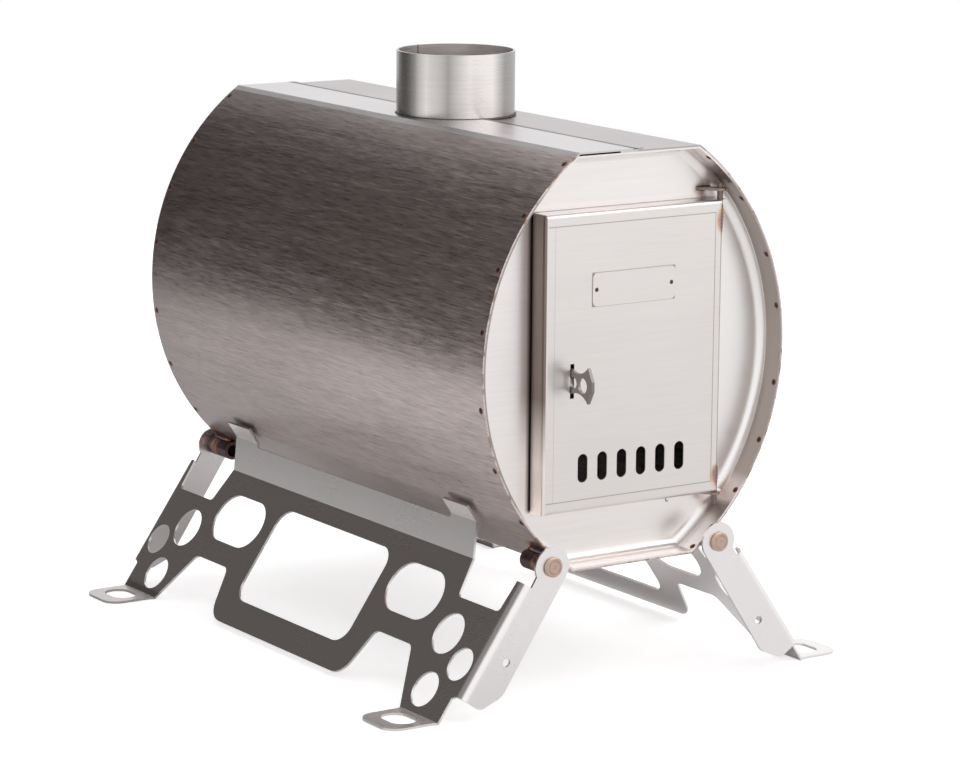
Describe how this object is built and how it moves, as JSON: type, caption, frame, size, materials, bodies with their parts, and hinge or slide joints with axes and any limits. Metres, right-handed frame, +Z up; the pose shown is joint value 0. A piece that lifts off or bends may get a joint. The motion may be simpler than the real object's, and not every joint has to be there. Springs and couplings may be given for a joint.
{
  "type": "tent wood stove",
  "caption": "Lapped steel barrel stove with dished ends, a lift-off door on pins with a gravity latch, a flue collar on top and two sheet-metal legs that fold together under it as a handle",
  "frame": {"origin": "Middle of the bounding box in plan, at the underside of the feet", "axes": "X to the right seen from the door side, the door faces -Y, +Z up; the barrel lies along Y"},
  "size_m": [0.336, 0.4232, 0.373],
  "materials": {
    "shell": "brushed stainless sheet, grain along the barrel, smoky heat tint",
    "front_plate": "brushed stainless sheet, light",
    "back_plate": "brushed stainless steel",
    "flue_collar": "brushed stainless, grain round the collar",
    "hinge_tab_upper": "brushed stainless steel",
    "hinge_tab_lower": "brushed stainless steel",
    "latch_keeper": "brushed stainless steel",
    "pivot_boss_front_left": "heat-tinted stainless steel",
    "pivot_boss_front_right": "heat-tinted stainless steel",
    "pivot_boss_rear_left": "heat-tinted stainless steel",
    "pivot_boss_rear_right": "heat-tinted stainless steel",
    "pivot_pin_front_left": "brushed stainless steel",
    "pivot_pin_front_right": "brushed stainless steel",
    "pivot_pin_rear_left": "brushed stainless steel",
    "pivot_pin_rear_right": "brushed stainless steel",
    "door_panel": "brushed stainless steel",
    "hinge_pin_upper": "heat-tinted stainless steel",
    "hinge_pin_lower": "heat-tinted stainless steel",
    "latch_bracket": "brushed stainless steel",
    "latch_pivot_pin": "brushed stainless steel",
    "badge_plate": "brushed stainless steel",
    "badge_rivet_left": "brushed stainless steel",
    "badge_rivet_right": "brushed stainless steel",
    "latch_plate": "brushed stainless steel",
    "leg_left": "smooth stainless sheet, dull on the face and bright on the edges",
    "leg_right": "smooth stainless sheet, dull on the face and bright on the edges"
  },
  "bodies": {
    "stove": {"shell": "shell", "front_plate": "front_plate", "back_plate": "back_plate", "flue_collar": "flue_collar", "hinge_tab_upper": "hinge_tab_upper", "hinge_tab_lower": "hinge_tab_lower", "latch_keeper": "latch_keeper", "pivot_boss_front_left": "pivot_boss_front_left", "pivot_boss_front_right": "pivot_boss_front_right", "pivot_boss_rear_left": "pivot_boss_rear_left", "pivot_boss_rear_right": "pivot_boss_rear_right", "pivot_pin_front_left": "pivot_pin_front_left", "pivot_pin_front_right": "pivot_pin_front_right", "pivot_pin_rear_left": "pivot_pin_rear_left", "pivot_pin_rear_right": "pivot_pin_rear_right"},
    "door": {"door_panel": "door_panel", "hinge_pin_upper": "hinge_pin_upper", "hinge_pin_lower": "hinge_pin_lower", "latch_bracket": "latch_bracket", "latch_pivot_pin": "latch_pivot_pin", "badge_plate": "badge_plate", "badge_rivet_left": "badge_rivet_left", "badge_rivet_right": "badge_rivet_right"},
    "latch": {"latch_plate": "latch_plate"},
    "leg_left": {"leg_left": "leg_left"},
    "leg_right": {"leg_right": "leg_right"}
  },
  "joints": [
    {"name": "door_hinge", "type": "hinge", "parent": "stove", "child": "door", "pos_m": [0.06625, -0.18555, 0.207], "axis": [0, 0, 1], "range_deg": [0, 130]},
    {"name": "latch_pivot", "type": "hinge", "parent": "door", "child": "latch", "pos_m": [-0.0438, -0.18315, 0.1968], "axis": [-1, 0, 0], "range_deg": [0, 20]},
    {"name": "leg_left_pivot", "type": "hinge", "parent": "stove", "child": "leg_left", "pos_m": [-0.06146, 0.00585, 0.08798], "axis": [0, -1, 0], "range_deg": [0, 71.5]},
    {"name": "leg_right_pivot", "type": "hinge", "parent": "stove", "child": "leg_right", "pos_m": [0.06146, 0.00585, 0.08798], "axis": [0, 1, 0], "range_deg": [0, 71.5]}
  ]
}
